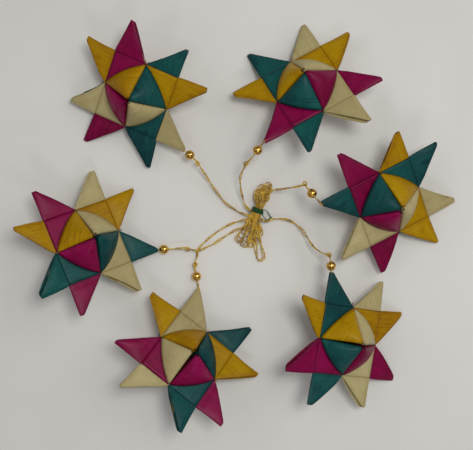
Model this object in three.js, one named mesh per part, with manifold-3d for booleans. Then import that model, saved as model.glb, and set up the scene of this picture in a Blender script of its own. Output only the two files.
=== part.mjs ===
// Six woven four-strip stars, each on a doubled gold thread with a bead, and the
// bundle of hanging loops that a green thread ties together. The set lies on a table.
// Millimetres, +Z up, origin on the table under the middle of the six stars.

import * as THREE from 'three';
import { ConvexGeometry } from 'three/addons/geometries/ConvexGeometry.js';
import { mergeVertices } from 'three/addons/utils/BufferGeometryUtils.js';
import Module from 'manifold-3d';

const wasm = await Module();
wasm.setup();

// ---- driving dimensions ---------------------------------------------------------
const STRIP_WIDTH = 14;          // every star is plaited from strips of this width
const LAYER = 0.6;               // a folded layer of leaf, as a solid
const LAYER_GAP = 0.2;           // from the middle plane to the near side of a layer
const MIDLINE_GAP = 0.4;         // layers stay this far from the star's midlines
const EDGE_GAP = 0.3;            // and this far inside the square's outer edge
const WALL_HALF = 0.25;          // half thickness of the fold that joins the layers
const CONE_BASE = 1.1;           // height of a cone's foot above the middle plane
const CONE_RISE = 0.75;          // cone height in strip widths
const CONE_BULGE = 0.79;         // reach of a cone's mouth on the diagonal, in widths
const CONE_INSET = 0.09;         // cone tip's distance from the midlines, in widths
const CONE_SHELL = 0.9;          // the cone's hollow is this share of its outside
const POINT_REACH = 1.95;        // blunt end of a flat point, in widths from the centre
const POINT_BLUNT = 1.5;         // width of a point's blunt end
const POINT_FLAT = 0.45;         // half thickness of a point along its closed edge
const POINT_OPEN = 1.1;          // and along its long side, where its two plies part
const CONE_SEAM = 0.55;          // a cone's edges stay this far from the midlines
const CONE_FOOT = 0.38;          // middle of a cone's foot, in widths from the midlines
const CONE_FLOOR = 0.5;          // the cone's hollow reaches this far below its foot
const LAP = 0.15;                // solids of one strip reach this far into each other
const FOLD_OVERLAP = 0.4;        // the fold on the midline reaches this far into a cone
const FOLD_SHORT = 0.08;         // and is this much shorter than the layers it joins
const HOLE_RADIUS = 0.5;         // needle hole for the thread
const HOLE_INSET = 3.2;          // from the sharp end of the point
const THREAD_RADIUS = 0.45;      // doubled metallic thread
const KNOT_RADIUS = 1.15;        // overhand knot beyond the bead
const BEAD_RADIUS = 2;
const BORE_RADIUS = 0.8;
const CLEARANCE = 0.8;           // between the point's end and the thread's start
const MIDDLE = [1.3, 1.1];       // middle of the six stars in the layout below
const W = STRIP_WIDTH;

const LEAF = {
  magenta: '#75193a',
  teal: '#1d4340',
  mustard: '#8c6a06',
  natural: '#99895d',
};

// Strip order is clockwise: the colour of the layer that shows in each quarter of the
// square, from the one at the upper left. Tilt is the star's lean from flat, towards
// the direction called lean; heading turns it in its own plane. Degrees.
const STARS = [
  {
    order: ['magenta', 'mustard', 'teal', 'natural'],
    centre: [-41.5, 53.4], height: 11.4, heading: -23, tilt: 22, lean: -124,
    tip: [1.95, -0.96], bead: 2.6,
    route: [[-16.4, 26.4, 6.3], [-14.8, 23.7, 5.2], [-10.2, 16.6, 3.0], [-4.6, 9.3, 1.6],
      [0.0, 6.1, 1.4], [4.4, 4.4, 2.6]],
  },
  {
    order: ['mustard', 'natural', 'magenta', 'teal'],
    centre: [29.0, 56.9], height: 12.9, heading: -61, tilt: 26, lean: 113,
    tip: [0.96, -1.95], bead: 4.4,
    route: [[4.5, 25.3, 14.6], [2.6, 22.6, 12.4], [1.5, 19.0, 9.4], [2.2, 12.9, 5.0],
      [3.4, 9.0, 3.4], [4.9, 7.0, 2.9]],
  },
  {
    order: ['mustard', 'natural', 'teal', 'magenta'],
    centre: [-61.1, -6.9], height: 13.34, heading: -68, tilt: 27, lean: 28,
    tip: [0.96, 1.95], bead: 2.6,
    route: [[-21.1, -9.7, 3.4], [-18.6, -10.4, 3.2], [-15.9, -10.6, 2.6], [-9.8, -8.0, 1.0],
      [-4.6, -4.7, 0.7], [0.0, -2.0, 1.0], [2.2, -1.3, 1.8]],
  },
  {
    order: ['teal', 'mustard', 'natural', 'magenta'],
    centre: [62.7, 9.4], height: 13.24, heading: -65, tilt: 25, lean: -44,
    tip: [-0.96, -1.95], bead: 6.8,
    route: [[28.0, 16.2, 15.0], [24.0, 15.6, 11.4], [18.9, 15.0, 7.0], [14.9, 14.3, 4.2]],
  },
  {
    order: ['natural', 'mustard', 'teal', 'magenta'],
    centre: [-20.0, -54.7], height: 13.87, heading: -38, tilt: 28, lean: 45,
    tip: [-0.96, 1.95], bead: 5.4,
    route: [[-17.7, -17.4, 2.5], [-16.8, -13.7, 1.0], [-16.2, -10.4, 0.7], [-12.4, -6.3, 0.7],
      [-6.8, -2.0, 0.8], [-1.2, 0.9, 1.4], [3.6, 2.2, 2.6]],
  },
  {
    order: ['teal', 'mustard', 'natural', 'magenta'],
    centre: [45.4, -47.7], height: 13.92, heading: -10, tilt: 29, lean: -7,
    tip: [-0.96, 1.95], bead: 3.5,
    route: [[38.6, -12.9, 11.4], [35.0, -11.2, 8.0], [31.9, -8.6, 5.6], [29.0, -3.9, 3.4],
      [25.9, -0.3, 2.2], [21.4, 2.2, 1.6], [16.4, 2.6, 1.6], [11.8, 1.6, 2.4]],
  },
];

// The bundle of hanging loops, as ovals along its length from the tuft's end through
// the tied neck to the fan: middle of the oval, half width and half height.
const BUNDLE = [
  { at: [13.9, 17.4, 1.9], wide: 0.5, high: 0.4 },
  { at: [12.9, 14.6, 2.3], wide: 2.6, high: 1.6 },
  { at: [11.0, 10.6, 2.7], wide: 3.0, high: 2.2 },
  { at: [9.4, 7.2, 2.9], wide: 2.0, high: 2.0 },
  { at: [8.4, 4.6, 2.9], wide: 2.0, high: 2.0 },
  { at: [7.0, 0.6, 2.6], wide: 3.1, high: 2.2 },
  { at: [6.0, -4.2, 1.9], wide: 4.3, high: 1.6 },
  { at: [5.6, -7.8, 1.2], wide: 3.0, high: 0.9 },
  { at: [5.5, -9.2, 0.9], wide: 0.7, high: 0.5 },
];
const LONG_LOOP = [[8.4, -3.0, 1.6], [9.0, -9.0, 0.7], [9.2, -13.0, 0.7], [10.5, -15.0, 0.7],
  [12.1, -13.4, 0.7], [11.2, -8.4, 0.7], [9.2, -2.6, 1.8]];
const TIE_INNER = 2.35;
const TIE_OUTER = 2.85;
const TIE_LENGTH = 2.2;
const TIE_TAIL = [[9.4, 6.1, 5.5], [11.9, 6.3, 4.5], [13.7, 5.8, 2.2], [15.5, 4.7, 0.7]];
const TAIL_RADIUS = 0.35;

// ---- solids -----------------------------------------------------------------------
function solid(geometry) {
  const bare = geometry.index ? geometry.toNonIndexed() : geometry.clone();
  bare.deleteAttribute('normal');
  bare.deleteAttribute('uv');
  const merged = mergeVertices(bare, 1e-4);
  const mesh = new wasm.Mesh({
    numProp: 3,
    vertProperties: new Float32Array(merged.attributes.position.array),
    triVerts: new Uint32Array(merged.index.array),
  });
  return new wasm.Manifold(mesh);
}

function geometryOf(manifold) {
  const mesh = manifold.getMesh();
  const geometry = new THREE.BufferGeometry();
  geometry.setAttribute('position', new THREE.BufferAttribute(mesh.vertProperties, 3));
  geometry.setIndex(new THREE.BufferAttribute(mesh.triVerts, 1));
  return geometry;
}

function block(x0, x1, y0, y1, z0, z1) {
  const geometry = new THREE.BoxGeometry(x1 - x0, y1 - y0, z1 - z0);
  geometry.translate((x0 + x1) / 2, (y0 + y1) / 2, (z0 + z1) / 2);
  return geometry;
}

function hull(points) {
  return new ConvexGeometry(points.map(([x, y, z]) => new THREE.Vector3(x, y, z)));
}

function curveThrough(points) {
  const route = points.map((p) => new THREE.Vector3(...p));
  return new THREE.CatmullRomCurve3(route, false, 'centripetal');
}

function tube(curve, radius, step) {
  const sides = 8;
  const section = new THREE.Shape();
  for (let i = 0; i < sides; i += 1) {
    const angle = (i * 2 * Math.PI) / sides;
    const x = radius * Math.cos(angle);
    const y = radius * Math.sin(angle);
    if (i === 0) section.moveTo(x, y);
    else section.lineTo(x, y);
  }
  section.closePath();
  const steps = Math.ceil(curve.getLength() / step);
  return new THREE.ExtrudeGeometry(section, { steps, extrudePath: curve });
}

// Oval sections joined in order, with flat ends.
function loft(sections, sides) {
  const positions = [];
  const rings = sections.map(({ at, wide, high }, i) => {
    const before = sections[Math.max(i - 1, 0)].at;
    const after = sections[Math.min(i + 1, sections.length - 1)].at;
    const along = new THREE.Vector3(after[0] - before[0], after[1] - before[1], 0).normalize();
    const across = new THREE.Vector3(-along.y, along.x, 0);
    const ring = [];
    for (let j = 0; j < sides; j += 1) {
      const angle = (j * 2 * Math.PI) / sides;
      const side = wide * Math.cos(angle);
      ring.push([at[0] + across.x * side, at[1] + across.y * side, at[2] + high * Math.sin(angle)]);
    }
    return ring;
  });
  const triangle = (a, b, c) => positions.push(...a, ...b, ...c);
  for (let i = 0; i + 1 < rings.length; i += 1) {
    for (let j = 0; j < sides; j += 1) {
      const next = (j + 1) % sides;
      triangle(rings[i][j], rings[i][next], rings[i + 1][j]);
      triangle(rings[i][next], rings[i + 1][next], rings[i + 1][j]);
    }
  }
  for (let j = 1; j + 1 < sides; j += 1) {
    const last = rings[rings.length - 1];
    triangle(rings[0][0], rings[0][j + 1], rings[0][j]);
    triangle(last[0], last[j], last[j + 1]);
  }
  const geometry = new THREE.BufferGeometry();
  geometry.setAttribute('position', new THREE.Float32BufferAttribute(positions, 3));
  return geometry;
}

// ---- one strip, in the star's own frame ---------------------------------------------
// The strip fills the left column of the square: on top in the upper quarter, under in
// the lower one. Half a turn about X carries its front half onto its back half.

// A flat point: the strip folded into a right triangle, open along its long side.
function flatPoint() {
  const left = -W + EDGE_GAP / 2;
  const end = POINT_REACH * W;
  const thin = POINT_FLAT * 0.9;
  const points = [];
  for (const s of [-1, 1]) {
    points.push([left, W, s * POINT_FLAT]);
    points.push([-0.5, W, s * POINT_FLAT * 1.6]);
    points.push([left, 1.5 * W, s * POINT_FLAT]);
    points.push([left, end, s * thin]);
    points.push([left + POINT_BLUNT * 0.7, end - POINT_BLUNT * 0.6, s * thin]);
    points.push([-W * 0.48, W * 1.48, s * POINT_OPEN]);
  }
  return hull(points);
}

// A cone over the lower quarter: the strip leaves the fold on the midline y = 0, rises to
// a tip over the middle of the star and turns back down to the midline x = 0. Share
// shrinks it about its foot and drop lowers it, for the hollow inside.
function coneTent(share, drop) {
  const side = 4;
  const foot = new THREE.Vector3(-W * CONE_FOOT, -W * CONE_FOOT, CONE_BASE);
  const scaled = (p) => p.clone().sub(foot).multiplyScalar(share).add(foot)
    .add(new THREE.Vector3(0, 0, -drop));
  const middle = new THREE.Vector3(-CONE_SEAM, 0, CONE_BASE);
  const tip = new THREE.Vector3(-CONE_INSET * W, -CONE_INSET * W, CONE_BASE + CONE_RISE * W);
  const reach = (2 * CONE_BULGE - Math.SQRT1_2) * W * Math.SQRT1_2;
  const mouth = new THREE.QuadraticBezierCurve3(
    new THREE.Vector3(-W + 2 * EDGE_GAP, 0, CONE_BASE),
    new THREE.Vector3(-reach, -reach, CONE_BASE),
    new THREE.Vector3(-CONE_SEAM, -W + 2 * EDGE_GAP, CONE_BASE),
  );
  const outer = mouth.getPoints(2 * side).map(scaled);
  const inner = [];
  for (let i = 0; i <= side; i += 1) inner.push(scaled(middle.clone().lerp(tip, i / side)));
  for (let i = side - 1; i >= 0; i -= 1) inner.push(inner[i]);
  const positions = [];
  const triangle = (a, b, c) => positions.push(...a.toArray(), ...b.toArray(), ...c.toArray());
  for (let i = 0; i < 2 * side; i += 1) {
    if (i < side) {
      triangle(inner[i], outer[i], inner[i + 1]);
      triangle(inner[i + 1], outer[i], outer[i + 1]);
    } else {
      triangle(inner[i], outer[i], outer[i + 1]);
      triangle(inner[i], outer[i + 1], inner[i + 1]);
    }
    triangle(inner[0], outer[i + 1], outer[i]);
  }
  const kept = [];
  for (let i = 0; i < positions.length; i += 9) {
    const [a, b, c] = [0, 3, 6].map((o) => new THREE.Vector3().fromArray(positions, i + o));
    const area = b.clone().sub(a).cross(c.clone().sub(a)).length();
    if (area > 1e-6) kept.push(...positions.slice(i, i + 9));
  }
  const geometry = new THREE.BufferGeometry();
  geometry.setAttribute('position', new THREE.Float32BufferAttribute(kept, 3));
  return geometry;
}

function halfStrip() {
  const [low, high] = [LAYER_GAP, LAYER_GAP + LAYER];
  const layer = block(-W + EDGE_GAP, -MIDLINE_GAP, 0.05 - LAP, W + LAP, low, high);
  const cone = solid(coneTent(1, 0)).subtract(solid(coneTent(CONE_SHELL, CONE_FLOOR)));
  return solid(layer).add(solid(flatPoint())).add(cone);
}

// The fold on the midline that joins the front half of a strip to its back half.
function fold() {
  const reach = CONE_BASE + FOLD_OVERLAP;
  const [left, right] = [-W + EDGE_GAP + FOLD_SHORT, -MIDLINE_GAP - FOLD_SHORT];
  return block(left, right, -WALL_HALF, WALL_HALF, -reach, reach);
}

function turned(manifold, axis, degrees) {
  const geometry = geometryOf(manifold);
  geometry.applyMatrix4(new THREE.Matrix4().makeRotationAxis(axis, THREE.MathUtils.degToRad(degrees)));
  return solid(geometry);
}

const ABOUT_X = new THREE.Vector3(1, 0, 0);
const ABOUT_Z = new THREE.Vector3(0, 0, 1);
const FRONT_HALF = halfStrip();
const STRIP = FRONT_HALF.add(turned(FRONT_HALF, ABOUT_X, 180)).add(solid(fold()));

// Needle hole on the middle of the threaded point, square to the star. A point is an
// eighth of a turn wide at its sharp end, so its middle is half of that off its edge.
function needleHole(tip) {
  const drill = new THREE.CylinderGeometry(HOLE_RADIUS, HOLE_RADIUS, 6, 10);
  drill.rotateX(Math.PI / 2);
  const side = new THREE.Vector2(Math.sign(tip[0]), Math.sign(tip[1]));
  const sharp = new THREE.Vector2(Math.round(tip[0]), Math.round(tip[1])).multiplyScalar(W);
  const corner = side.clone().multiplyScalar(W);
  const edge = corner.clone().sub(sharp).normalize();
  const inward = new THREE.Vector2(1 - Math.abs(edge.x), 1 - Math.abs(edge.y)).multiply(side).negate();
  const along = edge.multiplyScalar(Math.cos(Math.PI / 8)).addScaledVector(inward, Math.sin(Math.PI / 8));
  drill.translate(sharp.x + along.x * HOLE_INSET, sharp.y + along.y * HOLE_INSET, 0);
  return drill;
}

// ---- beads, threads, bundle and tie -----------------------------------------------------
function beadGeometry() {
  const profile = [];
  const rim = Math.asin(BORE_RADIUS / BEAD_RADIUS);
  const bands = 9;
  for (let i = 0; i <= bands; i += 1) {
    const angle = rim + ((Math.PI - 2 * rim) * i) / bands;
    profile.push(new THREE.Vector2(BEAD_RADIUS * Math.sin(angle), -BEAD_RADIUS * Math.cos(angle)));
  }
  profile.push(profile[0].clone());
  return new THREE.LatheGeometry(profile, 14);
}

function pointAt(placing, tip) {
  return new THREE.Vector3(tip[0] * W, tip[1] * W, 0).applyMatrix4(placing);
}

function placingOf(star) {
  const lean = THREE.MathUtils.degToRad(star.lean);
  const axis = new THREE.Vector3(-Math.sin(lean), Math.cos(lean), 0);
  const tilt = new THREE.Matrix4().makeRotationAxis(axis, THREE.MathUtils.degToRad(star.tilt));
  const heading = new THREE.Matrix4().makeRotationZ(THREE.MathUtils.degToRad(star.heading));
  const [x, y] = star.centre;
  return new THREE.Matrix4().makeTranslation(x, y, star.height).multiply(tilt).multiply(heading);
}

// The thread runs straight from the point's end through the bead to the knot, and then
// along its route to the bundle.
function threadLine(star) {
  const end = pointAt(placingOf(star), star.tip);
  const knot = new THREE.Vector3(...star.route[0]);
  const along = knot.clone().sub(end).normalize();
  const start = end.clone().addScaledVector(along, CLEARANCE);
  return { end, start, knot, along };
}

function threadSolid(star) {
  const { start, knot } = threadLine(star);
  const straight = [0, 0.3, 0.6, 0.85, 1].map((t) => start.clone().lerp(knot, t).toArray());
  const whole = solid(tube(curveThrough([...straight, ...star.route.slice(1)]), THREAD_RADIUS, 2.2));
  const ball = new THREE.SphereGeometry(KNOT_RADIUS, 10, 7);
  ball.translate(knot.x, knot.y, knot.z);
  return whole.add(solid(ball));
}

function tieSolid() {
  const half = TIE_LENGTH / 2;
  const [round, bevel] = [0.2, 0.4];
  const profile = [
    [TIE_INNER, -half], [TIE_OUTER - round, -half], [TIE_OUTER, -half + bevel],
    [TIE_OUTER, half - bevel], [TIE_OUTER - round, half], [TIE_INNER, half], [TIE_INNER, -half],
  ];
  const ring = new THREE.LatheGeometry(profile.map(([r, y]) => new THREE.Vector2(r, y)), 20);
  const [above, below] = [BUNDLE[3], BUNDLE[4]].map(({ at }) => new THREE.Vector3(...at));
  const along = above.clone().sub(below).normalize();
  ring.applyQuaternion(new THREE.Quaternion().setFromUnitVectors(new THREE.Vector3(0, 1, 0), along));
  const middle = above.lerp(below, 0.5);
  ring.translate(middle.x, middle.y, middle.z);
  return solid(ring).add(solid(tube(curveThrough(TIE_TAIL), TAIL_RADIUS, 1.2)));
}

function bundleSolid() {
  return solid(loft(BUNDLE, 14)).add(solid(tube(curveThrough(LONG_LOOP), THREAD_RADIUS, 1.8)));
}

// ---- the set -----------------------------------------------------------------------------
function finish(color, roughness, metalness) {
  return new THREE.MeshStandardMaterial({ color, roughness, metalness, flatShading: true });
}

function addMesh(parent, name, manifold, material) {
  const mesh = new THREE.Mesh(geometryOf(manifold), material);
  mesh.name = name;
  parent.add(mesh);
}

const set = new THREE.Group();
set.position.set(-MIDDLE[0], -MIDDLE[1], 0);

STARS.forEach((star, index) => {
  const prefix = `star${index + 1}`;
  const weave = new THREE.Group();
  weave.applyMatrix4(placingOf(star));
  set.add(weave);
  star.order.forEach((colour, k) => {
    const strip = turned(STRIP, ABOUT_Z, -90 * k).subtract(solid(needleHole(star.tip)));
    addMesh(weave, `${prefix}_${colour}_strip`, strip, finish(LEAF[colour], 0.5, 0));
  });
  const line = threadLine(star);
  const bead = new THREE.Group();
  bead.position.copy(line.end).addScaledVector(line.along, star.bead);
  bead.quaternion.setFromUnitVectors(new THREE.Vector3(0, 1, 0), line.along);
  set.add(bead);
  addMesh(bead, `${prefix}_bead`, solid(beadGeometry()), finish('#c79a3c', 0.22, 1));
  addMesh(set, `${prefix}_thread`, threadSolid(star), finish('#b98d34', 0.4, 0.8));
});

addMesh(set, 'thread_bundle', bundleSolid(), finish('#b98d34', 0.45, 0.8));
addMesh(set, 'bundle_tie', tieSolid(), finish('#3f7a3a', 0.6, 0));

export default set;
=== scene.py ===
import math
import random

import bpy
from mathutils import Matrix, Vector, noise


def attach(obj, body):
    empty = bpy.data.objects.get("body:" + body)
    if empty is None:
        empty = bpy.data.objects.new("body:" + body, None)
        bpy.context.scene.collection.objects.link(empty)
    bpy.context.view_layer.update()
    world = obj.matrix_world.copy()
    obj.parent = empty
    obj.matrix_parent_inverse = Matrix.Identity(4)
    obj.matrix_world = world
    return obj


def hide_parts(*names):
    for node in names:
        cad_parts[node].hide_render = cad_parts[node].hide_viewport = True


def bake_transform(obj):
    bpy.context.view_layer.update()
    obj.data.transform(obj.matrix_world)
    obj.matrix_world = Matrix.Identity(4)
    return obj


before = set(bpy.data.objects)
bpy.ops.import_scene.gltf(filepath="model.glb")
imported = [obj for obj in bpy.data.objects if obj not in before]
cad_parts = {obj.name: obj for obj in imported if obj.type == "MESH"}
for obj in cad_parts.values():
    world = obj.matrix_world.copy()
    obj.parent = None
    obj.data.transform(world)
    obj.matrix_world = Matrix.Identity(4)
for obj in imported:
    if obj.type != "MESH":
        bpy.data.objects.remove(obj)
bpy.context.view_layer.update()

MM = 0.001                   # metres in a millimetre
WIDTH = 14.0                 # strip width, in mm as everything below
LEAF = 0.26                  # thickness of one layer of palm leaf
LAYER_Z = 0.5                # the woven layers lie this far either side of the middle
CREASE = 0.04                # a point's fold lies this far past the edge of the weave
CREASE_DEPTH = 0.16          # how far the leaf dips at the fold
CREASE_REACH = 0.45          # and how far from the fold the dip reaches
CONE_FOOT = 0.8              # height at which the cones leave the weave
CONE_RISE = 0.75             # in strip widths
CONE_BULGE = 0.79            # reach of a cone's mouth on the diagonal, in widths
CONE_GAP = 0.22              # a cone's walls stay this far from the midlines
CONE_BLUNT = 0.045           # its rolled tip is cut off at this share of its height
POINT_LENGTH = 0.95          # of a flat point, in widths
STRAND = 0.23                # radius of each of its two strands
SPREAD = 0.27                # from the thread's middle to a strand's
LAY = 17.0                   # length of thread in which the strands wind round once
STEP = 0.5                   # spacing of the points along a thread
LOWEST = 0.05                # height above the table that no thread goes below
BEAD = 2.0                   # radius of a bead
BORE = 0.6                   # radius of its hole
MIDDLE = (1.3, 1.1)          # middle of the six stars in the layout below
NECK = (8.9, 5.9, 2.9)       # where the tie binds the bundle

# The same layout as the CAD: where each star lies, how it leans, the point that its
# thread holds, how far from that point's tip its bead sits, and the thread's route. Bent and
# short say how each strip's front and back points differ from square: turned in the
# star's plane, in degrees, and shorter, in mm. Ledge is how far the ply at the back of each
# point stands out past the ply in front, at the point's tip.
STARS = [
    dict(order=("magenta", "mustard", "teal", "natural"),
         centre=(-41.5, 53.4, 11.4), heading=-23, tilt=22, lean=-124,
         tip=(1.95, -0.96), bead=2.6,
         bent=[(-9, 4), (4, 4), (7, 1), (-3, 0)], short=[(0, 0), (0, 0), (0, 1.4), (2.2, 0)],
         ledge=[(0.5, 0.2), (0.4, 0.3), (0.5, 0), (0.3, 0.9)],
         route=[(-16.4, 26.4, 6.3), (-14.8, 23.7, 5.2), (-10.2, 16.6, 3.0),
                (-4.6, 9.3, 1.6), (0.0, 6.1, 1.4), (4.4, 4.4, 2.6)]),
    dict(order=("mustard", "natural", "magenta", "teal"),
         centre=(29.0, 56.9, 12.9), heading=-61, tilt=26, lean=113,
         tip=(0.96, -1.95), bead=4.4,
         bent=[(1, -1), (2, -1), (0, 1), (-1, 0)], short=[(0, 0)] * 4,
         ledge=[(0.2, 1.0), (1.4, 0.3), (0.3, 0), (0.2, 0.4)],
         route=[(4.5, 25.3, 14.6), (2.6, 22.6, 12.4), (1.5, 19.0, 9.4),
                (2.2, 12.9, 5.0), (3.4, 9.0, 3.4), (4.9, 7.0, 2.9)]),
    dict(order=("mustard", "natural", "teal", "magenta"),
         centre=(-61.1, -6.9, 13.34), heading=-68, tilt=27, lean=28,
         tip=(0.96, 1.95), bead=2.6,
         bent=[(1, 5), (-2, 0), (3, 0), (0, 1)], short=[(0, 0), (0.8, 0), (0, 0), (0.8, 0)],
         ledge=[(0, 0.5), (1.3, 1.3), (1.3, 0.2), (0.5, 0.3)],
         route=[(-21.1, -9.7, 3.4), (-18.6, -10.4, 3.2), (-15.9, -10.6, 2.6),
                (-9.8, -8.0, 1.0), (-4.6, -4.7, 0.7), (0.0, -2.0, 1.0), (2.2, -1.3, 1.8)]),
    dict(order=("teal", "mustard", "natural", "magenta"),
         centre=(62.7, 9.4, 13.24), heading=-65, tilt=25, lean=-44,
         tip=(-0.96, -1.95), bead=6.8,
         bent=[(4, 0), (2, -3), (2, 1), (-2, -3)], short=[(0, 0), (0, 1.7), (0, 0), (-0.8, 0)],
         ledge=[(0.2, 0.3), (0.3, 1.4), (0.5, 0.7), (0.8, 0.2)],
         route=[(28.0, 16.2, 15.0), (24.0, 15.6, 11.4), (18.9, 15.0, 7.0), (14.9, 14.3, 4.2)]),
    dict(order=("natural", "mustard", "teal", "magenta"),
         centre=(-20.0, -54.7, 13.87), heading=-38, tilt=28, lean=45,
         tip=(-0.96, 1.95), bead=5.4,
         bent=[(0, 6), (-3, -6), (6, 2), (0, 1)], short=[(0, 0)] * 4,
         ledge=[(0.3, 0.2), (0.5, 1.4), (0.5, 0.2), (0.2, 0.3)],
         route=[(-17.7, -17.4, 2.5), (-16.8, -13.7, 1.0), (-16.2, -10.4, 0.7),
                (-12.4, -6.3, 0.7), (-6.8, -2.0, 0.8), (-1.2, 0.9, 1.4), (3.6, 2.2, 2.6)]),
    dict(order=("teal", "mustard", "natural", "magenta"),
         centre=(45.4, -47.7, 13.92), heading=-10, tilt=29, lean=-7,
         tip=(-0.96, 1.95), bead=3.5,
         bent=[(0, 4), (4, 10), (0, -5), (2, 1)], short=[(0, 0), (1.2, 0), (0.7, 1.3), (0, 0)],
         ledge=[(0.4, 0.3), (0.1, 0.6), (1.4, 1.1), (1.0, 0.3)],
         route=[(38.6, -12.9, 11.4), (35.0, -11.2, 8.0), (31.9, -8.6, 5.6), (29.0, -3.9, 3.4),
                (25.9, -0.3, 2.2), (21.4, 2.2, 1.6), (16.4, 2.6, 1.6), (11.8, 1.6, 2.4)]),
]


# ---- camera -----------------------------------------------------------------------
def row(point):
    """A point of the layout, in the CAD frame, in metres."""
    x, y, z = point
    return Vector(((x - MIDDLE[0]) * MM, (y - MIDDLE[1]) * MM, z * MM))


def make_camera():
    """Straight above the table, looking down on the whole set. Lengths in mm."""
    height = 400.0
    seen_width = 201.0
    data = bpy.data.cameras.new("camera")
    data.sensor_width = 36.0
    data.lens = data.sensor_width * height / seen_width
    camera = bpy.data.objects.new("camera", data)
    camera.location = row((0, 0, height))
    bpy.context.scene.collection.objects.link(camera)
    bpy.context.scene.camera = camera


make_camera()


# ---- mesh helpers --------------------------------------------------------------------
FAR = (9.0, 9.0)             # a rim value well away from any edge


class Sheets:
    """Collects gridded surfaces with two UV maps, both in millimetres: one along and across
    the leaf, and one of the distances to two of the surface's edges."""

    def __init__(self):
        self.verts = []
        self.faces = []
        self.uvs = []
        self.rims = []

    def grid(self, rows, uvs, rims=None, flip=False):
        """Adds rows of points, joined to the next row."""
        first = len(self.verts)
        across = len(rows[0])
        for i, (line, marks) in enumerate(zip(rows, uvs)):
            self.verts += line
            self.uvs += marks
            self.rims += rims[i] if rims else [FAR] * across
        for i in range(len(rows) - 1):
            for j in range(across - 1):
                a = first + i * across + j
                quad = (a, a + 1, a + across + 1, a + across)
                self.faces.append(quad[::-1] if flip else quad)

    def lift(self):
        """Keeps every point off the table."""
        for v in self.verts:
            v.z = max(v.z, LOWEST)

    def recentre(self):
        """Moves the points from the layout to the CAD frame."""
        self.verts = [Vector((v.x - MIDDLE[0], v.y - MIDDLE[1], v.z)) for v in self.verts]

    def build(self, name, materials):
        """Makes one smooth mesh object, in metres, of all that was added."""
        mesh = bpy.data.meshes.new(name)
        mesh.from_pydata([tuple(v * MM) for v in self.verts], [], self.faces)
        for title, values in (("leaf", self.uvs), ("rim", self.rims)):
            layer = mesh.uv_layers.new(name=title)
            for loop in mesh.loops:
                layer.data[loop.index].uv = values[loop.vertex_index]
        mesh.polygons.foreach_set("use_smooth", [True] * len(mesh.polygons))
        for material in materials:
            mesh.materials.append(material)
        mesh.update()
        piece = bpy.data.objects.new(name, mesh)
        bpy.context.scene.collection.objects.link(piece)
        return piece


def lerp(a, b, t):
    """The value a share t of the way from a to b."""
    return a + (b - a) * t


def smooth_line(points, step):
    """Evenly spaced points on a centripetal curve through the given ones."""
    cuts = 40
    pts = [Vector(p) for p in points]
    pts = [pts[0] * 2 - pts[1]] + pts + [pts[-1] * 2 - pts[-2]]
    dense = []
    for p0, p1, p2, p3 in zip(pts, pts[1:], pts[2:], pts[3:]):
        t1 = (p1 - p0).length ** 0.5
        t2 = t1 + (p2 - p1).length ** 0.5
        t3 = t2 + (p3 - p2).length ** 0.5
        for i in range(cuts):
            t = lerp(t1, t2, i / cuts)
            a1 = p0 * ((t1 - t) / t1) + p1 * (t / t1)
            a2 = p1 * ((t2 - t) / (t2 - t1)) + p2 * ((t - t1) / (t2 - t1))
            a3 = p2 * ((t3 - t) / (t3 - t2)) + p3 * ((t - t2) / (t3 - t2))
            b1 = a1 * ((t2 - t) / t2) + a2 * (t / t2)
            b2 = a2 * ((t3 - t) / (t3 - t1)) + a3 * ((t - t1) / (t3 - t1))
            dense.append(b1 * ((t2 - t) / (t2 - t1)) + b2 * ((t - t1) / (t2 - t1)))
    dense.append(pts[-2].copy())
    lengths = [0.0]
    for a, b in zip(dense, dense[1:]):
        lengths.append(lengths[-1] + (b - a).length)
    count = max(2, round(lengths[-1] / step))
    line = []
    k = 0
    for i in range(count + 1):
        want = lengths[-1] * i / count
        while k < len(dense) - 2 and lengths[k + 1] < want:
            k += 1
        span = max(lengths[k + 1] - lengths[k], 1e-9)
        line.append(dense[k].lerp(dense[k + 1], min(1, (want - lengths[k]) / span)))
    return line


def frames_along(line):
    """A side vector and a second one for each point, turning as little as possible."""
    side = Vector((0, 0, 1))
    last = len(line) - 1
    out = []
    for i in range(len(line)):
        along = (line[min(i + 1, last)] - line[max(i - 1, 0)]).normalized()
        side = side - along * side.dot(along)
        if side.length < 0.05:
            side = along.orthogonal()
        side.normalize()
        out.append((side.copy(), along.cross(side)))
    return out


def add_tube(sheets, line, radius, taper=True):
    """A round tube with closed ends, which are drawn in if it tapers."""
    sides = 8
    drawn_in = 0.35
    rows = []
    marks = []
    travelled = 0.0
    for i, (point, (side, other)) in enumerate(zip(line, frames_along(line))):
        if i:
            travelled += (point - line[i - 1]).length
        ring = []
        mark = []
        for j in range(sides + 1):
            angle = 2 * math.pi * j / sides
            ring.append(point + side * (radius * math.cos(angle))
                        + other * (radius * math.sin(angle)))
            mark.append((travelled, 2 * math.pi * radius * j / sides))
        rows.append(ring)
        marks.append(mark)
    if taper:
        for end in (0, -1):
            rows[end] = [lerp(line[end], p, drawn_in) for p in rows[end]]
    sheets.grid(rows, marks)
    for end in (0, -1):
        first = len(sheets.verts)
        sheets.verts += rows[end][:sides]
        sheets.uvs += marks[end][:sides]
        sheets.rims += [FAR] * sides
        face = tuple(range(first, first + sides))
        sheets.faces.append(face if end == -1 else face[::-1])


# ---- materials -------------------------------------------------------------------------
BLACK = (0, 0, 0)
WHITE = (1, 1, 1)


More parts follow.
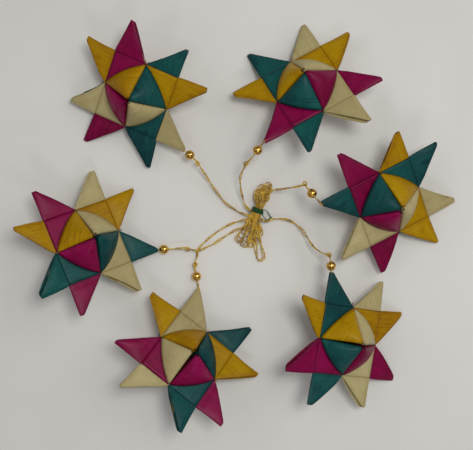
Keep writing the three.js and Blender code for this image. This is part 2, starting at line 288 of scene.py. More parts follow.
class Nodes:
    """Short calls for building a node material."""

    def __init__(self, name):
        self.material = bpy.data.materials.new(name)
        self.material.use_nodes = True
        self.tree = self.material.node_tree
        self.shader = self.tree.nodes["Principled BSDF"]

    def add(self, kind, **values):
        """Adds a node and sets its inputs or its own properties by name."""
        node = self.tree.nodes.new(kind)
        for key, value in values.items():
            if key in node.inputs:
                node.inputs[key].default_value = value
            else:
                setattr(node, key, value)
        return node

    def link(self, source, target):
        self.tree.links.new(source, target)

    def set(self, **values):
        """Sets the shader's inputs, with an underscore for each space in their names."""
        for key, value in values.items():
            self.shader.inputs[key.replace("_", " ")].default_value = value

    def coordinates(self, kind):
        return self.add("ShaderNodeTexCoord").outputs[kind]

    def math(self, operation, a, b, clamp=False):
        node = self.add("ShaderNodeMath", operation=operation, use_clamp=clamp)
        for i, value in enumerate((a, b)):
            if isinstance(value, (int, float)):
                node.inputs[i].default_value = value
            else:
                self.link(value, node.inputs[i])
        return node.outputs[0]

    def plus(self, a, b):
        return self.math("ADD", a, b)

    def times(self, a, b):
        return self.math("MULTIPLY", a, b)

    def less(self, a, b):
        """a less b, kept between 0 and 1."""
        return self.math("SUBTRACT", a, b, clamp=True)

    def scaled(self, source, scale):
        node = self.add("ShaderNodeMapping", vector_type="POINT")
        node.inputs["Scale"].default_value = scale
        self.link(source, node.inputs["Vector"])
        return node.outputs[0]

    def noise(self, source, scale, detail, roughness):
        node = self.add("ShaderNodeTexNoise", Scale=scale, Detail=detail, Roughness=roughness)
        self.link(source, node.inputs["Vector"])
        return node.outputs["Fac"]

    def grain(self, source, along, across, detail, roughness):
        """Noise with its own fineness, per mm, along and across the leaf or thread."""
        return self.noise(self.scaled(source, (along, across, 1.0)), 1.0, detail, roughness)

    def bands(self, source, across, scale, distortion):
        """Slanting bands, as on wound thread."""
        node = self.add("ShaderNodeTexWave", wave_type="BANDS", bands_direction="DIAGONAL",
                        Scale=scale, Distortion=distortion, Detail=1.0)
        self.link(self.scaled(source, (1.0, across, 1.0)), node.inputs["Vector"])
        return node.outputs["Fac"]

    def ramp(self, source, stops):
        """A colour that runs through stops, each a place and its colour."""
        node = self.add("ShaderNodeValToRGB")
        self.link(source, node.inputs["Fac"])
        while len(node.color_ramp.elements) < len(stops):
            node.color_ramp.elements.new(0.5)
        for element, (place, colour) in zip(node.color_ramp.elements, stops):
            element.position = place
            element.color = (*colour, 1)
        return node.outputs["Color"]

    def mix(self, factor, a, b):
        node = self.add("ShaderNodeMix", data_type="RGBA", blend_type="MIX")
        for socket, value in ((node.inputs[0], factor), (node.inputs[6], a), (node.inputs[7], b)):
            if isinstance(value, tuple):
                socket.default_value = (*value, 1)
            else:
                self.link(value, socket)
        return node.outputs[2]

    def bump(self, height, strength, distance):
        node = self.add("ShaderNodeBump", Strength=strength, Distance=distance)
        self.link(height, node.inputs["Height"])
        self.link(node.outputs["Normal"], self.shader.inputs["Normal"])


def leaf_material(name, dark, base, light, stain):
    """Dyed palm leaf: fine fibres along the strip, a little mottling, and edges darkened partly
    by wear and partly by painted shade.
    """
    n = Nodes(name)
    uv = n.coordinates("UV")
    fibre = n.grain(uv, along=0.10, across=4.2, detail=3.0, roughness=0.6)
    ridge = n.grain(uv, along=0.05, across=1.5, detail=2.0, roughness=0.5)
    blotch = n.grain(uv, along=0.16, across=0.24, detail=4.0, roughness=0.62)
    fleck = n.grain(uv, along=0.9, across=1.9, detail=3.0, roughness=0.7)
    drift = n.grain(uv, along=0.03, across=0.03, detail=0.0, roughness=0.5)
    ragged = n.grain(uv, along=0.35, across=0.35, detail=3.0, roughness=0.7)

    tone = n.plus(n.times(fibre, 0.5), n.times(ridge, 0.15))
    tone = n.plus(tone, n.times(blotch, 0.35))
    tone = n.plus(tone, n.times(n.math("SUBTRACT", drift, 0.5), 0.32))
    colour = n.ramp(tone, [(0.31, dark), (0.46, base), (0.64, light)])
    patch = n.ramp(blotch, [(0.5, BLACK), (0.75, WHITE)])
    colour = n.mix(n.times(patch, 0.5), colour, stain)
    spots = n.ramp(fleck, [(0.7, BLACK), (0.8, WHITE)])
    colour = n.mix(n.times(spots, 0.45), colour, dark)

    # Darker towards the edges and folds: a broad faint band of painted shade, then a narrow dark
    # line that is wear along cut edges and painted shade along creases, folds and the rolled cone
    # tips.
    rim = n.add("ShaderNodeSeparateXYZ")
    n.link(n.add("ShaderNodeUVMap", uv_map="rim").outputs[0], rim.inputs[0])
    near = n.math("MINIMUM", rim.outputs[0], rim.outputs[1])
    near = n.plus(near, n.times(ragged, 0.45))
    painted_edge_shade = n.less(0.95, n.times(near, 0.42))
    colour = n.mix(n.times(painted_edge_shade, 0.42), colour, dark)
    # The narrow dark line: wear where it follows a cut edge, painted shade where it follows a
    # crease, a fold or a rolled tip.
    worn = n.less(1.32, n.times(near, 3.2))
    deep = tuple(c * 0.35 for c in dark)
    colour = n.mix(n.times(worn, 0.7), colour, deep)
    n.link(colour, n.shader.inputs["Base Color"])

    rough = n.plus(n.times(fibre, 0.24), 0.28)
    n.link(n.plus(rough, n.times(worn, 0.25)), n.shader.inputs["Roughness"])
    height = n.plus(n.times(fibre, 0.5), n.times(ridge, 0.5))
    n.bump(height, strength=0.35, distance=0.00012)
    n.set(Specular_IOR_Level=0.14)
    return n.material


def edge_material(name, colour, dark):
    """The cut edge of a strip: rougher and darker than its face."""
    n = Nodes(name)
    grain = n.grain(n.coordinates("UV"), along=1.6, across=1.6, detail=3.0, roughness=0.6)
    n.link(n.ramp(grain, [(0.35, dark), (0.7, colour)]), n.shader.inputs["Base Color"])
    n.bump(grain, strength=0.6, distance=0.0001)
    n.set(Roughness=0.8, Specular_IOR_Level=0.2)
    return n.material


LEAF_TONES = {
    "magenta": dict(dark=(0.105, 0.0005, 0.020), base=(0.185, 0.0010, 0.040),
                    light=(0.34, 0.004, 0.092), stain=(0.135, 0.0005, 0.027)),
    "teal": dict(dark=(0.003, 0.028, 0.031), base=(0.006, 0.055, 0.059),
                 light=(0.012, 0.132, 0.112), stain=(0.004, 0.040, 0.043)),
    "mustard": dict(dark=(0.25, 0.100, 0.0002), base=(0.385, 0.196, 0.0003),
                    light=(0.56, 0.355, 0.001), stain=(0.30, 0.118, 0.0002)),
    "natural": dict(dark=(0.35, 0.275, 0.115), base=(0.45, 0.375, 0.175),
                    light=(0.58, 0.51, 0.27), stain=(0.39, 0.30, 0.13)),
}


def make_leaf_materials():
    """For each colour, the material of the leaf's face and that of its cut edge."""
    edge_tone = 0.6
    groove_tone = 0.25
    made = {}
    for colour, tones in LEAF_TONES.items():
        face = leaf_material(f"palm_leaf_{colour}", **tones)
        cut = tuple(c * edge_tone for c in tones["dark"])
        deep = tuple(c * groove_tone for c in tones["dark"])
        made[colour] = (face, edge_material(f"palm_leaf_{colour}_edge", cut, deep))
    return made


def gold_thread_material():
    """Metallised thread: a flat gold foil wound round a central thread. Its bands carry painted
    shade and painted highlights, darker patches are painted shade, and short dashes are painted
    glints.
    """
    shaded = (0.62, 0.24, 0.001)
    foil = (0.98, 0.49, 0.002)
    painted_highlight = (1.0, 0.72, 0.03)
    painted_shade_tone = (0.27, 0.08, 0.0005)
    glare = (1.0, 0.90, 0.30)
    n = Nodes("gold_thread")
    uv = n.coordinates("UV")
    wind = n.bands(uv, across=1.6, scale=0.9, distortion=2.5)
    patch = n.noise(n.coordinates("Object"), scale=420.0, detail=2.0, roughness=0.6)
    dash = n.grain(uv, along=0.9, across=0.8, detail=1.0, roughness=0.5)
    # The winding bands: painted shade in their hollows, painted highlights on their crests.
    colour = n.ramp(wind, [(0.15, shaded), (0.45, foil), (0.8, painted_highlight)])
    # Darker patches of painted shade across the bundle.
    painted_shade_patches = n.ramp(patch, [(0.46, BLACK), (0.58, WHITE)])
    colour = n.mix(n.times(painted_shade_patches, 0.8), colour, painted_shade_tone)
    # Short dashes of painted glints.
    glint = n.ramp(dash, [(0.5, BLACK), (0.58, WHITE)])
    colour = n.mix(n.times(glint, 0.65), colour, glare)
    n.link(colour, n.shader.inputs["Base Color"])
    n.link(n.plus(n.times(patch, 0.25), 0.16), n.shader.inputs["Roughness"])
    n.bump(wind, strength=0.9, distance=0.00016)
    n.set(Metallic=0.15, Specular_IOR_Level=0.6)
    return n.material


def gold_bead_material():
    """Bright plated bead with faint wear and a slightly uneven plating."""
    worn = (0.48, 0.22, 0.025)
    plating = (0.88, 0.52, 0.11)
    pale = (0.98, 0.70, 0.24)
    n = Nodes("gold_bead")
    place = n.coordinates("Object")
    wear = n.noise(place, scale=900.0, detail=3.0, roughness=0.6)
    broad = n.noise(place, scale=260.0, detail=2.0, roughness=0.5)
    colour = n.ramp(wear, [(0.35, worn), (0.6, plating)])
    colour = n.mix(n.times(broad, 0.35), colour, pale)
    n.link(colour, n.shader.inputs["Base Color"])
    n.link(n.plus(n.times(wear, 0.18), 0.08), n.shader.inputs["Roughness"])
    n.bump(broad, strength=0.25, distance=0.0001)
    n.set(Metallic=1.0)
    return n.material


def green_thread_material():
    """Dull green sewing thread, a little fuzzy, with painted shade in the hollows of its twist.
    """
    groove = (0.003, 0.030, 0.008)
    strand = (0.012, 0.115, 0.028)
    fluff = (0.03, 0.16, 0.045)
    n = Nodes("green_thread")
    uv = n.coordinates("UV")
    wind = n.bands(uv, across=1.4, scale=2.2, distortion=0.8)
    fuzz = n.grain(uv, along=2.0, across=6.0, detail=3.0, roughness=0.6)
    # The darkest band is painted shade in the hollows of the twist.
    colour = n.ramp(wind, [(0.1, groove), (0.9, strand)])
    colour = n.mix(n.times(fuzz, 0.35), colour, fluff)
    n.link(colour, n.shader.inputs["Base Color"])
    n.bump(wind, strength=0.8, distance=0.00012)
    n.set(Roughness=0.5)
    return n.material


def table_material():
    """A pale matt table top with faint broad patches of painted shade."""
    shaded = (0.77, 0.76, 0.725)
    pale = (0.83, 0.82, 0.785)
    n = Nodes("table")
    place = n.coordinates("Object")
    painted_table_shade = n.noise(place, scale=14.0, detail=3.0, roughness=0.55)
    tooth = n.noise(place, scale=900.0, detail=2.0, roughness=0.5)
    # Broad darker and lighter patches of painted shade across the top.
    n.link(n.ramp(painted_table_shade, [(0.3, shaded), (0.7, pale)]), n.shader.inputs["Base Color"])
    n.bump(tooth, strength=0.12, distance=0.0001)
    n.set(Roughness=0.62, Specular_IOR_Level=0.3)
    return n.material


# ---- threads and bundle -------------------------------------------------------------------
def placing_of(star):
    """Where the star's own frame lies in the layout, in mm."""
    lean = math.radians(star["lean"])
    axis = Vector((-math.sin(lean), math.cos(lean), 0))
    tilt = Matrix.Rotation(math.radians(star["tilt"]), 4, axis)
    heading = Matrix.Rotation(math.radians(star["heading"]), 4, "Z")
    return Matrix.Translation(Vector(star["centre"])) @ tilt @ heading


def tip_of(star):
    """The tip of the point that the star's thread holds."""
    x, y = star["tip"]
    return placing_of(star) @ Vector((x * WIDTH, y * WIDTH, 0))


def thread_points(star):
    """The CAD's own line for a thread: straight to the knot, then its route."""
    clearance = 0.8
    shares = (0, 0.3, 0.6, 0.85, 1)
    tip = tip_of(star)
    knot = Vector(star["route"][0])
    start = tip + (knot - tip).normalized() * clearance
    straight = [start.lerp(knot, t) for t in shares]
    return straight + [Vector(p) for p in star["route"][1:]]


def add_twist(sheets, line, rng, tight_to, open_from):
    """Two strands that wind loosely round each other along a line: tight as far as the
    knot, and wider apart in the loops of the bundle."""
    unevenness = 1.1
    evenness_per_mm = 0.22
    tight = 0.6
    opened = 0.9
    phase = rng.uniform(0, math.tau)
    frames = frames_along(line)
    step = (line[1] - line[0]).length
    for half in (0, math.pi):
        wander = rng.uniform(0, 50)
        strand_line = []
        for i, (point, (side, other)) in enumerate(zip(line, frames)):
            angle = phase + half + math.tau * i * step / LAY
            place = Vector((i * step * evenness_per_mm, wander, 0))
            loose = 1 + unevenness * noise.noise(place)
            if i < tight_to:
                loose = min(loose, tight)
            if i > open_from:
                loose += opened
            reach = SPREAD * loose
            strand_line.append(point + side * (reach * math.cos(angle))
                               + other * (reach * math.sin(angle)))
        add_tube(sheets, strand_line, STRAND)


def add_knot(sheets, centre, along, rng):
    """An overhand knot pulled half tight: both strands lie round one small open ring, and
    wrap round its root where the thread runs through."""
    pulled = 0.2                 # radius of a strand where the knot pulls it
    across = Vector((along.y, -along.x, 0)).normalized() * rng.choice((-1, 1))
    level = Vector((along.x, along.y, 0)).normalized()
    middle = centre + across * 0.45 + level * 0.6
    turns = 1.12
    steps = 29
    arch = 0.25
    # For each strand of the ring: its radius, its height and the angle where it starts.
    for reach, height, first in ((0.62, 0.16, 0.0), (0.84, -0.14, 0.5)):
        line = []
        for i in range(steps + 1):
            angle = first + math.tau * turns * i / steps
            flat = across * (reach * math.cos(angle)) + level * (reach * math.sin(angle))
            rise = height + arch * math.sin(angle * 0.5)
            line.append(middle + flat + Vector((0, 0, rise)))
        add_tube(sheets, line, pulled, taper=False)
    wrap = 0.4                   # radius of the wrap
    turns = 1.5
    steps = 15
    line = []
    for i in range(steps + 1):
        angle = math.tau * turns * i / steps
        ring = across * (wrap * math.cos(angle)) + Vector((0, 0, wrap * math.sin(angle)))
        line.append(centre + level * lerp(0.05, 0.7, i / steps) + ring)
    add_tube(sheets, line, pulled, taper=False)


# Each star's hanging loop inside the bundle: out to the tuft, back through the neck and
# round a loop of the fan. Turn is the radius of both folds, and away is the way the thread
# leaves the bundle.
LOOPS = [
    dict(tuft=(14.1, 17.4, 2.2), fan=(0.5, -6.9, 0.9), turn=1.5, away=(-1.0, 0.25)),
    dict(tuft=(10.0, 15.2, 3.2), fan=(3.2, -8.9, 0.8), turn=1.8, away=(-0.9, 0.35)),
    dict(tuft=(13.0, 13.2, 1.2), fan=(5.7, -9.3, 1.3), turn=1.4, away=(-1.0, -0.25)),
    dict(tuft=(13.2, 16.2, 3.4), fan=(7.9, -7.6, 1.1), turn=1.6, away=(1.0, 0.0)),
    dict(tuft=(8.9, 12.8, 1.6), fan=(9.4, -4.6, 1.8), turn=1.3, away=(-1.0, 0.0)),
    dict(tuft=(11.6, 16.6, 1.4), fan=(10.2, -15.0, 0.7), turn=1.5, away=(1.0, 0.0)),
]


def fold_points(neck, end, radius):
    """A round fold of a loop that runs out from the neck and back."""
    out = (end - neck).normalized()
    side = Vector((-out.y, out.x, 0)).normalized()
    points = []
    for degrees in (90, 60, 30, 0, -30, -60, -90):
        turn = math.radians(degrees)
        forward = out * (radius * (math.cos(turn) - 1))
        points.append(end + forward + side * (radius * math.sin(turn)))
    return points


def loop_points(index):
    """One thread's hanging loop. Its runs through the neck lie beside those of the other
    threads: each passes at its own angle round the middle, in radians, and at a reach from
    it and a distance up or down the neck in mm."""
    loop = LOOPS[index - 1]
    start = math.tau * index / len(STARS)
    neck = Vector(NECK)
    across = Vector((0.92, -0.38, 0))
    along = Vector((0.38, 0.92, 0))

    def beside(turn, reach, slide):
        sideways = across * (reach * math.cos(start + turn))
        height = Vector((0, 0, reach * math.sin(start + turn)))
        return neck + sideways + height + along * slide

    tuft = fold_points(neck, Vector(loop["tuft"]), loop["turn"])
    fan = fold_points(neck, Vector(loop["fan"]), loop["turn"])
    first = [beside(0.0, 1.35, -1.2), beside(0.1, 1.3, 1.4)]
    second = [beside(2.0, 1.1, 1.6), beside(2.2, 1.1, -1.4)]
    return first + tuft + second + fan + [beside(4.1, 1.2, -2.2)]


def make_thread(index, star, material):
    """The doubled gold thread of one star: from its point through the bead and the knot to
    the bundle, then round its folded hanging loop there. Smaller loops inside that one
    stand for the further turns of the bundle."""
    lowest_middle = 0.55
    inside_leaf = 1.4            # how far the thread runs on into the point's tip
    past_bead = 14               # further points over which the strands stay tight
    into_bundle = 4              # points inside the bundle where the smaller loops start
    opening = 6                  # and where the strands come apart
    inner_loops = (0.88, 0.74)   # their size beside the outer loop's
    rng = random.Random(300 + index)
    name = f"star{index}_thread"
    tip = tip_of(star)
    knot = Vector(star["route"][0])
    line = smooth_line(thread_points(star) + loop_points(index), STEP)
    for point in line:
        point.z = max(point.z, lowest_middle)
    sheets = Sheets()
    in_leaf = tip + (tip - knot).normalized() * inside_leaf
    twisted = smooth_line([in_leaf, line[0], line[2], *line[4::2]], STEP)
    outside = len(smooth_line(thread_points(star), STEP))
    add_twist(sheets, twisted, rng, tight_to=int(star["bead"] / STEP) + past_bead,
              open_from=outside + opening)
    neck = Vector(NECK)
    fold = line[outside + into_bundle:]
    if index == len(STARS):
        fold = fold[:len(fold) // 2]
    for share in inner_loops:
        add_tube(sheets, [neck + (point - neck) * share for point in fold], STRAND)
    add_knot(sheets, knot, (knot - tip).normalized(), rng)
    sheets.lift()
    sheets.recentre()
    piece = sheets.build(f"{name}_twist", [material])
    entry = Vector(star["route"][-1])
    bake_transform(piece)
    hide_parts(name, "thread_bundle")
    length = sum((b - a).length for a, b in zip(line, line[1:])) * MM
    return piece, [row(p) for p in line], length


def make_bead(index, star, material):
    """A round bead with a bore and a small turned-in lip at each end."""
    rounds = 32
    arcs = 22
    lip = 0.04
    name = f"star{index}_bead"
    tip = tip_of(star)
    knot = Vector(star["route"][0])
    along = (knot - tip).normalized()
    centre = tip + along * star["bead"]
    side = along.orthogonal().normalized()
    other = along.cross(side)
    rim = math.asin(BORE / BEAD) + 0.08
    profile = []
    for i in range(arcs + 1):
        angle = lerp(rim, math.pi - rim, i / arcs)
        profile.append((BEAD * math.sin(angle), -BEAD * math.cos(angle)))
    end = profile[-1][1]
    profile += [(BORE + lip, end + 0.02), (BORE, end - 0.1)]
    profile += [(BORE, -end + 0.1), (BORE + lip, -end - 0.02)]
    profile.append(profile[0])
    sheets = Sheets()
    rows = []
    marks = []
    for j in range(rounds + 1):
        angle = math.tau * j / rounds
        outward = side * math.cos(angle) + other * math.sin(angle)
        rows.append([centre + outward * r + along * h for r, h in profile])
        marks.append([(k, j) for k in range(len(profile))])
    sheets.grid(rows, marks)
    sheets.recentre()
    piece = sheets.build(f"{name}_gold", [material])
    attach(piece, f"bead_{index}")
    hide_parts(name)
    return piece


TIE_TAILS = [
    [(9.4, 6.1, 5.1), (11.6, 6.4, 4.4), (13.2, 5.4, 2.4), (14.4, 3.6, 1.0), (15.8, 2.1, 0.6)],
    [(9.2, 5.4, 5.1), (11.0, 4.2, 4.3), (11.9, 2.9, 2.7), (13.3, 2.2, 1.6), (14.6, 3.4, 1.6)],
]


def make_tie(material):
    """Green thread wound round the bundle's neck, with its two ends trailing."""
    turns = 6.5
    steps = 200
    wound = 2.3                  # radius of the turns
    strand = 0.22
    loose_strand = 0.18          # in the tails, which nothing presses flat
    neck = Vector(NECK)
    along = Vector((0.36, 0.93, 0)).normalized()
    across = Vector((along.y, -along.x, 0))
    up = Vector((0, 0, 1))
    sheets = Sheets()
    line = []
    for i in range(steps + 1):
        t = i / steps
        angle = math.tau * turns * t + 0.6
        reach = wound + 0.14 * math.sin(3.1 * angle)
        slide = lerp(-0.8, 0.8, t) + 0.3 * math.sin(angle * 0.5)
        middle = neck + along * slide
        line.append(middle + across * (reach * math.cos(angle)) + up * (reach * math.sin(angle)))
    add_tube(sheets, line, strand)
    for tail in TIE_TAILS:
        add_tube(sheets, smooth_line(tail, 0.4), loose_strand)
    sheets.lift()
    sheets.recentre()
    piece = sheets.build("bundle_tie_thread", [material])
    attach(piece, "bundle")
    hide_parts("bundle_tie")


gold_thread = gold_thread_material()
gold_bead = gold_bead_material()
for number, star in enumerate(STARS, 1):
    bead = make_bead(number, star, gold_bead)
    thread, path, length = make_thread(number, star, gold_thread)
make_tie(green_thread_material())


# ---- stars ---------------------------------------------------------------------------------
def sag(x, y, offset):
    """The leaf's own slight waviness, in mm."""
    height = 0.14
    per_mm = 0.16
    return height * noise.noise(Vector((x * per_mm, y * per_mm, offset)))


def crease(away):
    """How far the leaf dips at the fold at a point's root, by the distance from it."""
    return CREASE_DEPTH * math.exp(-(away / CREASE_REACH) ** 2)


def add_layer(sheets, offset):
    """The square of the strip that shows round a cone, in the upper left quarter."""
    up = 8
    across = 10
    ys = [lerp(0.2, WIDTH - 1.2, i / up) for i in range(up + 1)]
    ys += [WIDTH - 0.5, WIDTH - CREASE]
    xs = [lerp(-WIDTH, -0.25, j / across) for j in range(across + 1)]
    rows = []
    marks = []
    rims = []
    for y in ys:
        dip = crease(WIDTH - y)
        rows.append([Vector((x, y, LAYER_Z + sag(x, y, offset) - dip)) for x in xs])
        marks.append([(y + offset, x + WIDTH) for x in xs])
        # Distances to the cut edge and to the point's fold, for the darker line: wear at the cut
        # edge, painted shade at the fold.
        rims.append([(x + WIDTH, WIDTH - y + 0.1) for x in xs])
    sheets.grid(rows, marks, rims)


def point_section(width, proud, front, back):
    """The folded point cut across: in under the front ply, out over its edge, along the
    front, round the closed fold and along the back ply, which stands proud of the front."""
    turn = 0.16                  # radius of a turned edge
    squash = 0.8
    fold = 0.22                  # how far the closed fold rounds out
    cells = 10
    tucked = (0.72, 0.86, 0.97)
    quarters = (1, 2, 3)
    far = width + proud
    section = [(s * width, front(s) - 2 * turn) for s in tucked]
    for k in quarters:
        angle = math.pi * (k / 4 - 0.5)
        height = front(1) + turn * (math.sin(angle) - 1)
        section.append((width + squash * turn * math.cos(angle), height))
    for k in range(cells, -1, -1):
        section.append((width * k / cells, front(k / cells)))
    middle = (front(0) + back(0)) / 2
    half = (front(0) - back(0)) / 2
    for k in quarters:
        angle = math.pi * (k / 4 + 0.5)
        section.append((fold * math.cos(angle), middle + half * math.sin(angle)))
    for k in range(cells + 1):
        section.append((far * k / cells, back(k / cells)))
    for k in quarters:
        angle = math.pi * (k / 4 - 0.5)
        height = back(1) + turn * (math.sin(angle) + 1)
        section.append((far + squash * turn * math.cos(angle), height))
    section += [(s * far, back(s) + 2 * turn) for s in reversed(tucked)]
    return section


def add_point(sheets, rng, offset, bent, short, proud, held):
    """The flat point above the upper left quarter: closed along its outer edge and open,
    with two plies apart, along its long side. Held is true where a thread holds its tip:
    that point neither droops nor curls, and it is a little shorter."""
    edge = 0.3                   # height of the front ply's edge, and depth of the back's
    back_root = 0.18             # depth of the back ply where it leaves the weave
    tip_part = 0.04              # share of the length over which the tip rounds off
    tip_from = 0.96
    held_back = -0.35
    loose = 0 if held else 1
    spare = held_back if held else rng.uniform(-0.3, 0.3)
    length = POINT_LENGTH * WIDTH + spare - short
    blunt = rng.uniform(0.85, 1.25)                          # width of the tip
    gape = rng.uniform(0.25, 1.1)                            # how far the plies part
    dome = rng.uniform(0.2, 0.6)                             # how far the front ply swells
    bow = rng.uniform(-0.5, 0.15)                            # of the open long side
    outer_bow = rng.uniform(-0.2, 0.2)                       # of the closed side
    square = rng.uniform(0.1, 0.5)                           # how far the tip narrows
    droop = math.radians(loose * rng.uniform(-5, 3))
    curl = loose * rng.uniform(-0.5, 0.8)
    swing = math.radians(bent + loose * rng.uniform(-1, 1))
    pivot = Vector((-WIDTH / 2, WIDTH, 0))
    turn = Matrix.Rotation(swing, 4, "Z") @ Matrix.Rotation(droop, 4, "X")
    stations = [0.0, 0.03] + [i / 20 for i in range(2, 20)] + [0.965, 0.98, 0.992, 1.0]
    rows = []
    marks = []
    rims = []
    for t in stations:
        last = max(0.0, (t - tip_from) / tip_part)
        full = lerp(WIDTH, blunt, t) + bow * math.sin(math.pi * t)
        width = full * math.sqrt(1 - square * last * last)
        ledge = proud * t ** 0.6 * (1 - 0.2 * last)
        left = (full - width) / 2 + outer_bow * math.sin(math.pi * t)
        swell = math.sin(math.pi * min(1, t * 0.86 + 0.06)) ** 0.8
        root = max(0.0, 1 - t * 4)
        pinch = 1 - 0.35 * last

        def front(s):
            rise = edge + gape * swell * s ** 0.8 + dome * swell * math.sin(math.pi * s)
            return lerp(rise, LAYER_Z, root) * pinch

        def back(s):
            drop = edge + gape * swell * s ** 0.8 + 0.5 * dome * swell * math.sin(math.pi * s)
            return -lerp(drop, back_root, root) * pinch

        y = t * length
        bend = curl * t * t - crease(y)
        ease = min(1, t * 5)
        line = []
        mark = []
        rim = []
        for across, height in point_section(width, ledge, front, back):
            place = Vector((-WIDTH + left + across, WIDTH + CREASE + y, height + bend))
            local = place - pivot
            place = pivot + local.lerp(turn @ local, ease)
            place.z += sag(across - WIDTH, WIDTH + y, offset)
            line.append(place)
            mark.append((WIDTH + y + offset, across))
            # A painted shadow of the front ply darkens the back ply where it shows past the front
            # ply's edge.
            shade = 0.3 if across > width else 0.75
            rim.append((abs(width - across) * shade, min(abs(across) + 0.1, y + 0.1)))
        rows.append(line)
        marks.append(mark)
        rims.append(rim)
    sheets.grid(rows, marks, rims, flip=True)


def cone_foot(foot, lift):
    """Where a cone meets the face: out along one midline, round its curved mouth and back
    along the other. Each entry is a place and whether it is on the mouth."""
    wall = (0.0, 0.25, 0.5, 0.75, 0.95)
    steps = 22
    crowded = 0.06               # how much closer the mouth's points lie at its ends
    near = -CONE_GAP
    far = -WIDTH + 0.3
    reach = -(2 * CONE_BULGE - math.sqrt(0.5)) * WIDTH * math.sqrt(0.5)
    line = [(Vector((lerp(near, far, share), near, foot)), False) for share in wall]
    for i in range(steps + 1):
        t = i / steps
        t = t - crowded * math.sin(2 * math.pi * t)
        a = Vector((far, near, foot)) * (1 - t) ** 2
        b = Vector((reach, reach, foot)) * (2 * t * (1 - t))
        c = Vector((near, far, foot)) * t ** 2
        line.append((a + b + c + Vector((0, 0, lift * math.sin(math.pi * t))), True))
    for share in reversed(wall):
        line.append((Vector((near, lerp(near, far, share), foot)), False))
    return line


def add_cone(sheets, rng, offset):
    """The curled loop over the lower left quarter: the leaf comes up out of one midline,
    rolls round into a cone with its tip over the middle, and goes down into the other.
    Straight lines run from the tip to the cone's foot, as on any rolled sheet."""
    rise = CONE_RISE * WIDTH * rng.uniform(0.92, 1.04) / (1 - CONE_BLUNT)
    inset = rng.uniform(0.25, 0.85)
    lean = rng.uniform(-0.5, 0.5)
    tip = Vector((-inset - lean, -inset + lean, CONE_FOOT + rise))
    belly = rng.uniform(1.4, 2.3)
    foot = cone_foot(CONE_FOOT, rng.uniform(0.3, 1.2))
    outward = Vector((-0.5, -0.5, 0.71))                     # the way the cone swells
    mouth = sum(1 for _, on_mouth in foot if on_mouth)
    cross = 12
    rows = []
    marks = []
    rims = []
    angle = 0.0
    count = 0
    before = None
    for place, on_mouth in foot:
        slope = place - tip
        if before is not None:
            angle += before.angle(slope)
        before = slope
        swell = 0.0
        if on_mouth:
            swell = belly * math.sin(math.pi * count / (mouth - 1)) ** 0.6
            count += 1
        line = []
        mark = []
        rim = []
        for j in range(cross + 1):
            u = lerp(CONE_BLUNT, 1, j / cross)
            share = math.sin(math.pi * min(1, u * 0.93)) ** 0.8
            spot = tip + slope * u + outward * (swell * share)
            away = slope.length * u
            line.append(spot + Vector((0, 0, sag(spot.x, spot.y, offset + 5))))
            mark.append((offset + 40 + away * math.cos(angle), away * math.sin(angle)))
            # Distances to the mouth's cut edge and to the rolled tip, for the darker line: wear
            # at the mouth, and wear and painted shade at the tip round the hub.
            to_mouth = slope.length * (1 - u) if on_mouth else FAR[0]
            rim.append((to_mouth, away - slope.length * CONE_BLUNT))
        rows.append(line)
        marks.append(mark)
        rims.append(rim)
    sheets.grid(rows, marks, rims)


def add_fibre(sheets, rng, offset):
    """One stray fibre: a short narrow ribbon that curves off and thins out."""
    cells = 5
    half_width = 0.11
    start = Vector((WIDTH + 0.2, -0.6 - rng.uniform(0, 1.2), 0.1))
    heading = math.radians(rng.uniform(5, 80))
    along = Vector((math.cos(heading), math.sin(heading), rng.uniform(-0.2, 0.5)))
    side = Vector((-along.y, along.x, 0)).normalized()
    size = rng.uniform(1.0, 2.4)
    hook = rng.uniform(-0.5, 0.5)
    rows = []
    marks = []
    for k in range(cells + 1):
        t = k / cells
        place = start + along * (size * t) + side * (hook * t * t)
        half = half_width * (1 - 0.7 * t)
        rows.append([place - side * half, place + side * half])
        marks.append([(offset + 90 + size * t, 6.8), (offset + 90 + size * t, 7.0)])
    sheets.grid(rows, marks)


def add_tail(sheets, rng, offset):
    """The strip's trimmed end, cut off between the plies of the next strip's point, and
    the few stray fibres that stick out of the notch there."""
    cells = 9
    across = 4
    rows = []
    marks = []
    rims = []
    trim = rng.uniform(-0.5, 0.45)
    slant = rng.uniform(-0.05, 0.05)
    reach = rng.uniform(0.3, 0.62) * WIDTH
    start = WIDTH - 1.0
    for i in range(cells + 1):
        y = -lerp(0.5, reach, i / cells)
        end = WIDTH - y * (0.97 + slant) + trim * (1 - i / cells) + rng.uniform(-0.15, 0.15)
        end = max(end, start + 0.4)
        xs = [lerp(start, end, j / across) for j in range(across + 1)]
        rows.append([Vector((x, y, 0.05 + sag(x, y, offset + 9))) for x in xs])
        marks.append([(x + offset + 80, -y) for x in xs])
        rims.append([(xs[-1] - x, FAR[1]) for x in xs])
    sheets.grid(rows, marks, rims, flip=True)
    for _ in range(rng.choice((0, 0, 1, 2, 3))):
        add_fibre(sheets, rng, offset)


def add_half(rng, bent, short, proud, held):
    """A strip's part of one face: a square of the weave, a point, a cone and a cut end."""
    sheets = Sheets()
    offset = rng.uniform(0, 400)
    add_layer(sheets, offset)
    add_point(sheets, rng, offset, bent, short, proud, held)
    add_cone(sheets, rng, offset)
    add_tail(sheets, rng, offset)
    return sheets


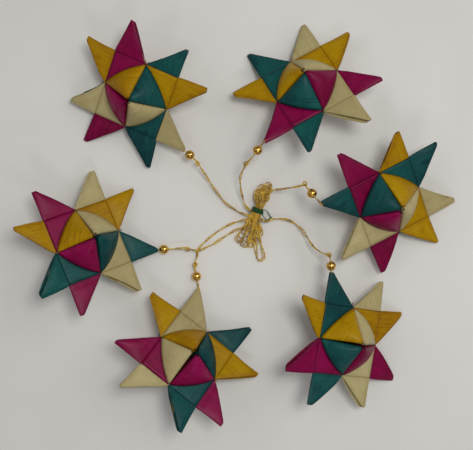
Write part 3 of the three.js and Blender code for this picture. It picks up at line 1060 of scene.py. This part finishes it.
def make_strip(number, star, turn, materials):
    """One woven strip: its front half, and its back half turned over about X."""
    colour = star["order"][turn]
    rng = random.Random(number * 10 + turn)
    whole = Sheets()
    spin = Matrix.Rotation(math.radians(-90 * turn), 4, "Z")
    placing = Matrix.Translation((-MIDDLE[0], -MIDDLE[1], 0)) @ placing_of(star) @ spin
    halves = (Matrix.Identity(4), Matrix.Rotation(math.pi, 4, "X"))
    habits = zip(halves, star["bent"][turn], star["short"][turn], star["ledge"][turn])
    for over, bent, short, proud in habits:
        own_tip = spin @ over @ Vector((-0.96, 1.95, 0))
        held = (own_tip - Vector((*star["tip"], 0))).length < 0.1
        half = add_half(rng, bent, short, proud, held)
        first = len(whole.verts)
        whole.verts += [placing @ over @ v for v in half.verts]
        whole.uvs += half.uvs
        whole.rims += half.rims
        whole.faces += [tuple(first + k for k in face) for face in half.faces]
    name = f"star{number}_{colour}_strip"
    piece = whole.build(f"{name}_leaf", materials[colour])
    thick = piece.modifiers.new("thickness", "SOLIDIFY")
    thick.thickness = LEAF * MM
    thick.offset = 0
    thick.material_offset_rim = 1
    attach(piece, f"star_{number}")
    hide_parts(name)


leaf_materials = make_leaf_materials()
for number, star in enumerate(STARS, 1):
    for turn in range(4):
        make_strip(number, star, turn, leaf_materials)


# ---- table and light -------------------------------------------------------------------------
def make_table():
    """A plain table top under the set, wide enough to fill the view."""
    half = 0.6
    corners = [(-half, -half, 0), (half, -half, 0), (half, half, 0), (-half, half, 0)]
    mesh = bpy.data.meshes.new("table")
    mesh.from_pydata(corners, [], [(0, 1, 2, 3)])
    mesh.materials.append(table_material())
    table = bpy.data.objects.new("table", mesh)
    bpy.context.scene.collection.objects.link(table)


# Where each lamp stands and how wide it is, in metres, and its power in watts.
LIGHTS = [
    dict(name="key", place=(0.12, 0.08, 0.6), size=0.17, power=1.35,
         colour=(1.0, 0.985, 0.96)),
    dict(name="window", place=(0.14, -0.66, 0.72), size=0.16, power=0.6,
         colour=(1.0, 0.99, 0.97)),
    dict(name="fill_left", place=(-0.75, 0.25, 0.85), size=0.7, power=0.8,
         colour=(1.0, 0.995, 0.98)),
    dict(name="fill_right", place=(0.75, 0.35, 0.8), size=0.7, power=2.0,
         colour=(1.0, 0.995, 0.98)),
]


def make_light(name, place, size, power, colour):
    """A square lamp that faces the middle of the set."""
    data = bpy.data.lights.new(name, "AREA")
    data.shape = "SQUARE"
    data.size = size
    data.energy = power
    data.color = colour
    light = bpy.data.objects.new(name, data)
    light.location = place
    light.rotation_euler = (-Vector(place)).to_track_quat("-Z", "Y").to_euler()
    bpy.context.scene.collection.objects.link(light)


def make_world():
    """Dim even surroundings, so that the gold has something dark to reflect, and colours
    shown as they are."""
    world = bpy.data.worlds.new("world")
    world.use_nodes = True
    background = world.node_tree.nodes["Background"]
    background.inputs["Color"].default_value = (0.98, 0.98, 1.0, 1)
    background.inputs["Strength"].default_value = 0.2
    bpy.context.scene.world = world
    bpy.context.scene.view_settings.view_transform = "Standard"


make_table()
for light in LIGHTS:
    make_light(**light)
make_world()
